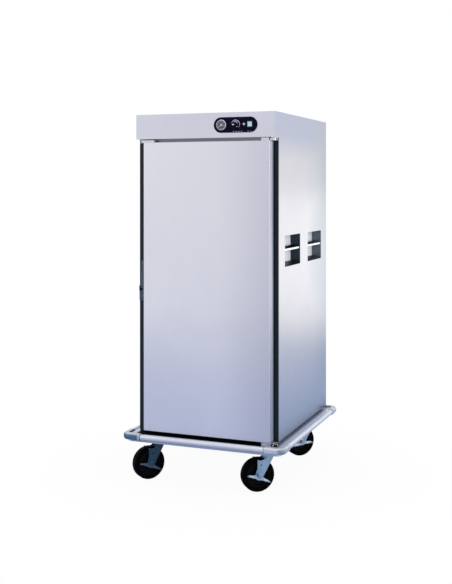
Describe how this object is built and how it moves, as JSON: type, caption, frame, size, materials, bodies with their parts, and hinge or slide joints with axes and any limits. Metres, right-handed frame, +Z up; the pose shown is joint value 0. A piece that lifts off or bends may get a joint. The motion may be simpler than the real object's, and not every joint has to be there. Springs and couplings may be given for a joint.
{
  "type": "heated holding cart",
  "caption": "Tall insulated stainless holding cabinet on a bumper base with braked swivel casters, hinged door with lever latch, header controls, recessed side grips and pan racks.",
  "frame": {"origin": "on the floor, at the centre of the bumper ring", "axes": "+X to the right as seen by someone facing the door, +Y to the back, +Z up"},
  "size_m": [0.836, 0.963, 1.8],
  "materials": {
    "stainless": "satin",
    "deck_steel": "satin",
    "frame_plastic": "matte",
    "insulation": "matte",
    "bumper_rail": "satin",
    "bumper_corner": "satin",
    "cast_metal": "satin",
    "gasket": "matte",
    "control_black": "satin",
    "bezel_chrome": "polished",
    "dial_face": "satin",
    "clear_lens": "gloss",
    "latch_metal": "satin",
    "needle_white": "satin",
    "lamp_lens": "gloss",
    "switch_black": "satin",
    "rocker_blue": "gloss",
    "element_sheath": "satin",
    "zinc_steel": "satin",
    "tyre_rubber": "matte",
    "wheel_core": "satin",
    "brake_steel": "satin"
  },
  "bodies": {
    "cabinet": {"left_side_panel": "stainless", "right_side_panel": "stainless", "rear_panel": "stainless", "top_panel": "stainless", "bottom_panel": "stainless", "header_fascia": "stainless", "front_frame": "frame_plastic", "inner_liner": "stainless", "insulation": "insulation", "deck_tray": "deck_steel", "caster_channels": "deck_steel", "bumper_rails": "bumper_rail", "bumper_corners": "bumper_corner", "grip_pockets": "stainless", "hinge_brackets": "cast_metal", "latch_strike": "cast_metal", "control_plate": "control_black", "thermometer_case": "bezel_chrome", "thermometer_dial": "dial_face", "thermometer_lens": "clear_lens", "thermostat_body": "switch_black", "pilot_lamp": "lamp_lens", "switch_frame": "switch_black", "rack_posts": "stainless", "pan_runners": "stainless", "heating_element": "element_sheath", "heater_cover": "stainless", "water_pan": "stainless", "cable_gland": "switch_black", "caster_plates": "zinc_steel"},
    "door": {"door_skin": "stainless", "door_liner": "stainless", "door_core": "insulation", "door_gasket": "gasket", "hinge_leaves": "cast_metal", "latch_base": "latch_metal"},
    "latch_lever": {"latch_lever": "latch_metal"},
    "thermostat_knob": {"thermostat_knob": "control_black"},
    "switch_rocker": {"switch_rocker": "rocker_blue"},
    "thermometer_needle": {"thermometer_needle": "needle_white"},
    "front_left_swivel": {"front_left_fork": "zinc_steel", "front_left_axle": "zinc_steel"},
    "front_left_wheel": {"front_left_wheel_core": "wheel_core", "front_left_tyre": "tyre_rubber"},
    "front_left_brake": {"front_left_brake_lever": "brake_steel"},
    "front_right_swivel": {"front_right_fork": "zinc_steel", "front_right_axle": "zinc_steel"},
    "front_right_wheel": {"front_right_wheel_core": "wheel_core", "front_right_tyre": "tyre_rubber"},
    "front_right_brake": {"front_right_brake_lever": "brake_steel"},
    "rear_left_swivel": {"rear_left_fork": "zinc_steel", "rear_left_axle": "zinc_steel"},
    "rear_left_wheel": {"rear_left_wheel_core": "wheel_core", "rear_left_tyre": "tyre_rubber"},
    "rear_left_brake": {"rear_left_brake_lever": "brake_steel"},
    "rear_right_swivel": {"rear_right_fork": "zinc_steel", "rear_right_axle": "zinc_steel"},
    "rear_right_wheel": {"rear_right_wheel_core": "wheel_core", "rear_right_tyre": "tyre_rubber"},
    "rear_right_brake": {"rear_right_brake_lever": "brake_steel"}
  },
  "joints": [
    {"name": "door_swing", "type": "hinge", "parent": "cabinet", "child": "door", "pos_m": [0.348, -0.4105, 0.94], "axis": [0, 0, 1], "range_deg": [0, 180]},
    {"name": "latch_pull", "type": "hinge", "parent": "door", "child": "latch_lever", "pos_m": [-0.333, -0.4105, 0.952], "axis": [1, 0, 0], "range_deg": [0, 35], "stiffness_Nm_per_rad": 0.8, "springref_deg": -11.46},
    {"name": "thermostat_turn", "type": "hinge", "parent": "cabinet", "child": "thermostat_knob", "pos_m": [0.162, -0.4315, 1.74], "axis": [0, 1, 0], "range_deg": [0, 270]},
    {"name": "switch_rock", "type": "hinge", "parent": "cabinet", "child": "switch_rocker", "pos_m": [0.235, -0.4285, 1.742], "axis": [-1, 0, 0], "range_deg": [0, 14]},
    {"name": "needle_turn", "type": "hinge", "parent": "cabinet", "child": "thermometer_needle", "pos_m": [0.092, -0.4335, 1.74], "axis": [0, 1, 0], "range_deg": [0, 250], "stiffness_Nm_per_rad": 0.0005},
    {"name": "front_left_swivel", "type": "hinge", "parent": "cabinet", "child": "front_left_swivel", "pos_m": [-0.289, -0.3225, 0.176], "axis": [0, 0, 1], "continuous": true},
    {"name": "front_left_roll", "type": "hinge", "parent": "front_left_swivel", "child": "front_left_wheel", "pos_m": [-0.32435, -0.36463, 0.08], "axis": [-0.766, 0.6428, 0], "continuous": true},
    {"name": "front_left_brake", "type": "hinge", "parent": "front_left_swivel", "child": "front_left_brake", "pos_m": [-0.32435, -0.36463, 0.08], "axis": [-0.766, 0.6428, 0], "range_deg": [-26, 0]},
    {"name": "front_right_swivel", "type": "hinge", "parent": "cabinet", "child": "front_right_swivel", "pos_m": [0.289, -0.3225, 0.176], "axis": [0, 0, 1], "continuous": true},
    {"name": "front_right_roll", "type": "hinge", "parent": "front_right_swivel", "child": "front_right_wheel", "pos_m": [0.24566, -0.35636, 0.08], "axis": [-0.6157, 0.788, 0], "continuous": true},
    {"name": "front_right_brake", "type": "hinge", "parent": "front_right_swivel", "child": "front_right_brake", "pos_m": [0.24566, -0.35636, 0.08], "axis": [-0.6157, 0.788, 0], "range_deg": [-24, 2]},
    {"name": "rear_left_swivel", "type": "hinge", "parent": "cabinet", "child": "rear_left_swivel", "pos_m": [-0.289, 0.3475, 0.176], "axis": [0, 0, 1], "continuous": true},
    {"name": "rear_left_roll", "type": "hinge", "parent": "rear_left_swivel", "child": "rear_left_wheel", "pos_m": [-0.32987, 0.3107, 0.08], "axis": [-0.6691, 0.7431, 0], "continuous": true},
    {"name": "rear_left_brake", "type": "hinge", "parent": "rear_left_swivel", "child": "rear_left_brake", "pos_m": [-0.32987, 0.3107, 0.08], "axis": [-0.6691, 0.7431, 0], "range_deg": [-8, 18]},
    {"name": "rear_right_swivel", "type": "hinge", "parent": "cabinet", "child": "rear_right_swivel", "pos_m": [0.289, 0.3475, 0.176], "axis": [0, 0, 1], "continuous": true},
    {"name": "rear_right_roll", "type": "hinge", "parent": "rear_right_swivel", "child": "rear_right_wheel", "pos_m": [0.25011, 0.30861, 0.08], "axis": [-0.7071, 0.7071, 0], "continuous": true},
    {"name": "rear_right_brake", "type": "hinge", "parent": "rear_right_swivel", "child": "rear_right_brake", "pos_m": [0.25011, 0.30861, 0.08], "axis": [-0.7071, 0.7071, 0], "range_deg": [0, 26]}
  ]
}
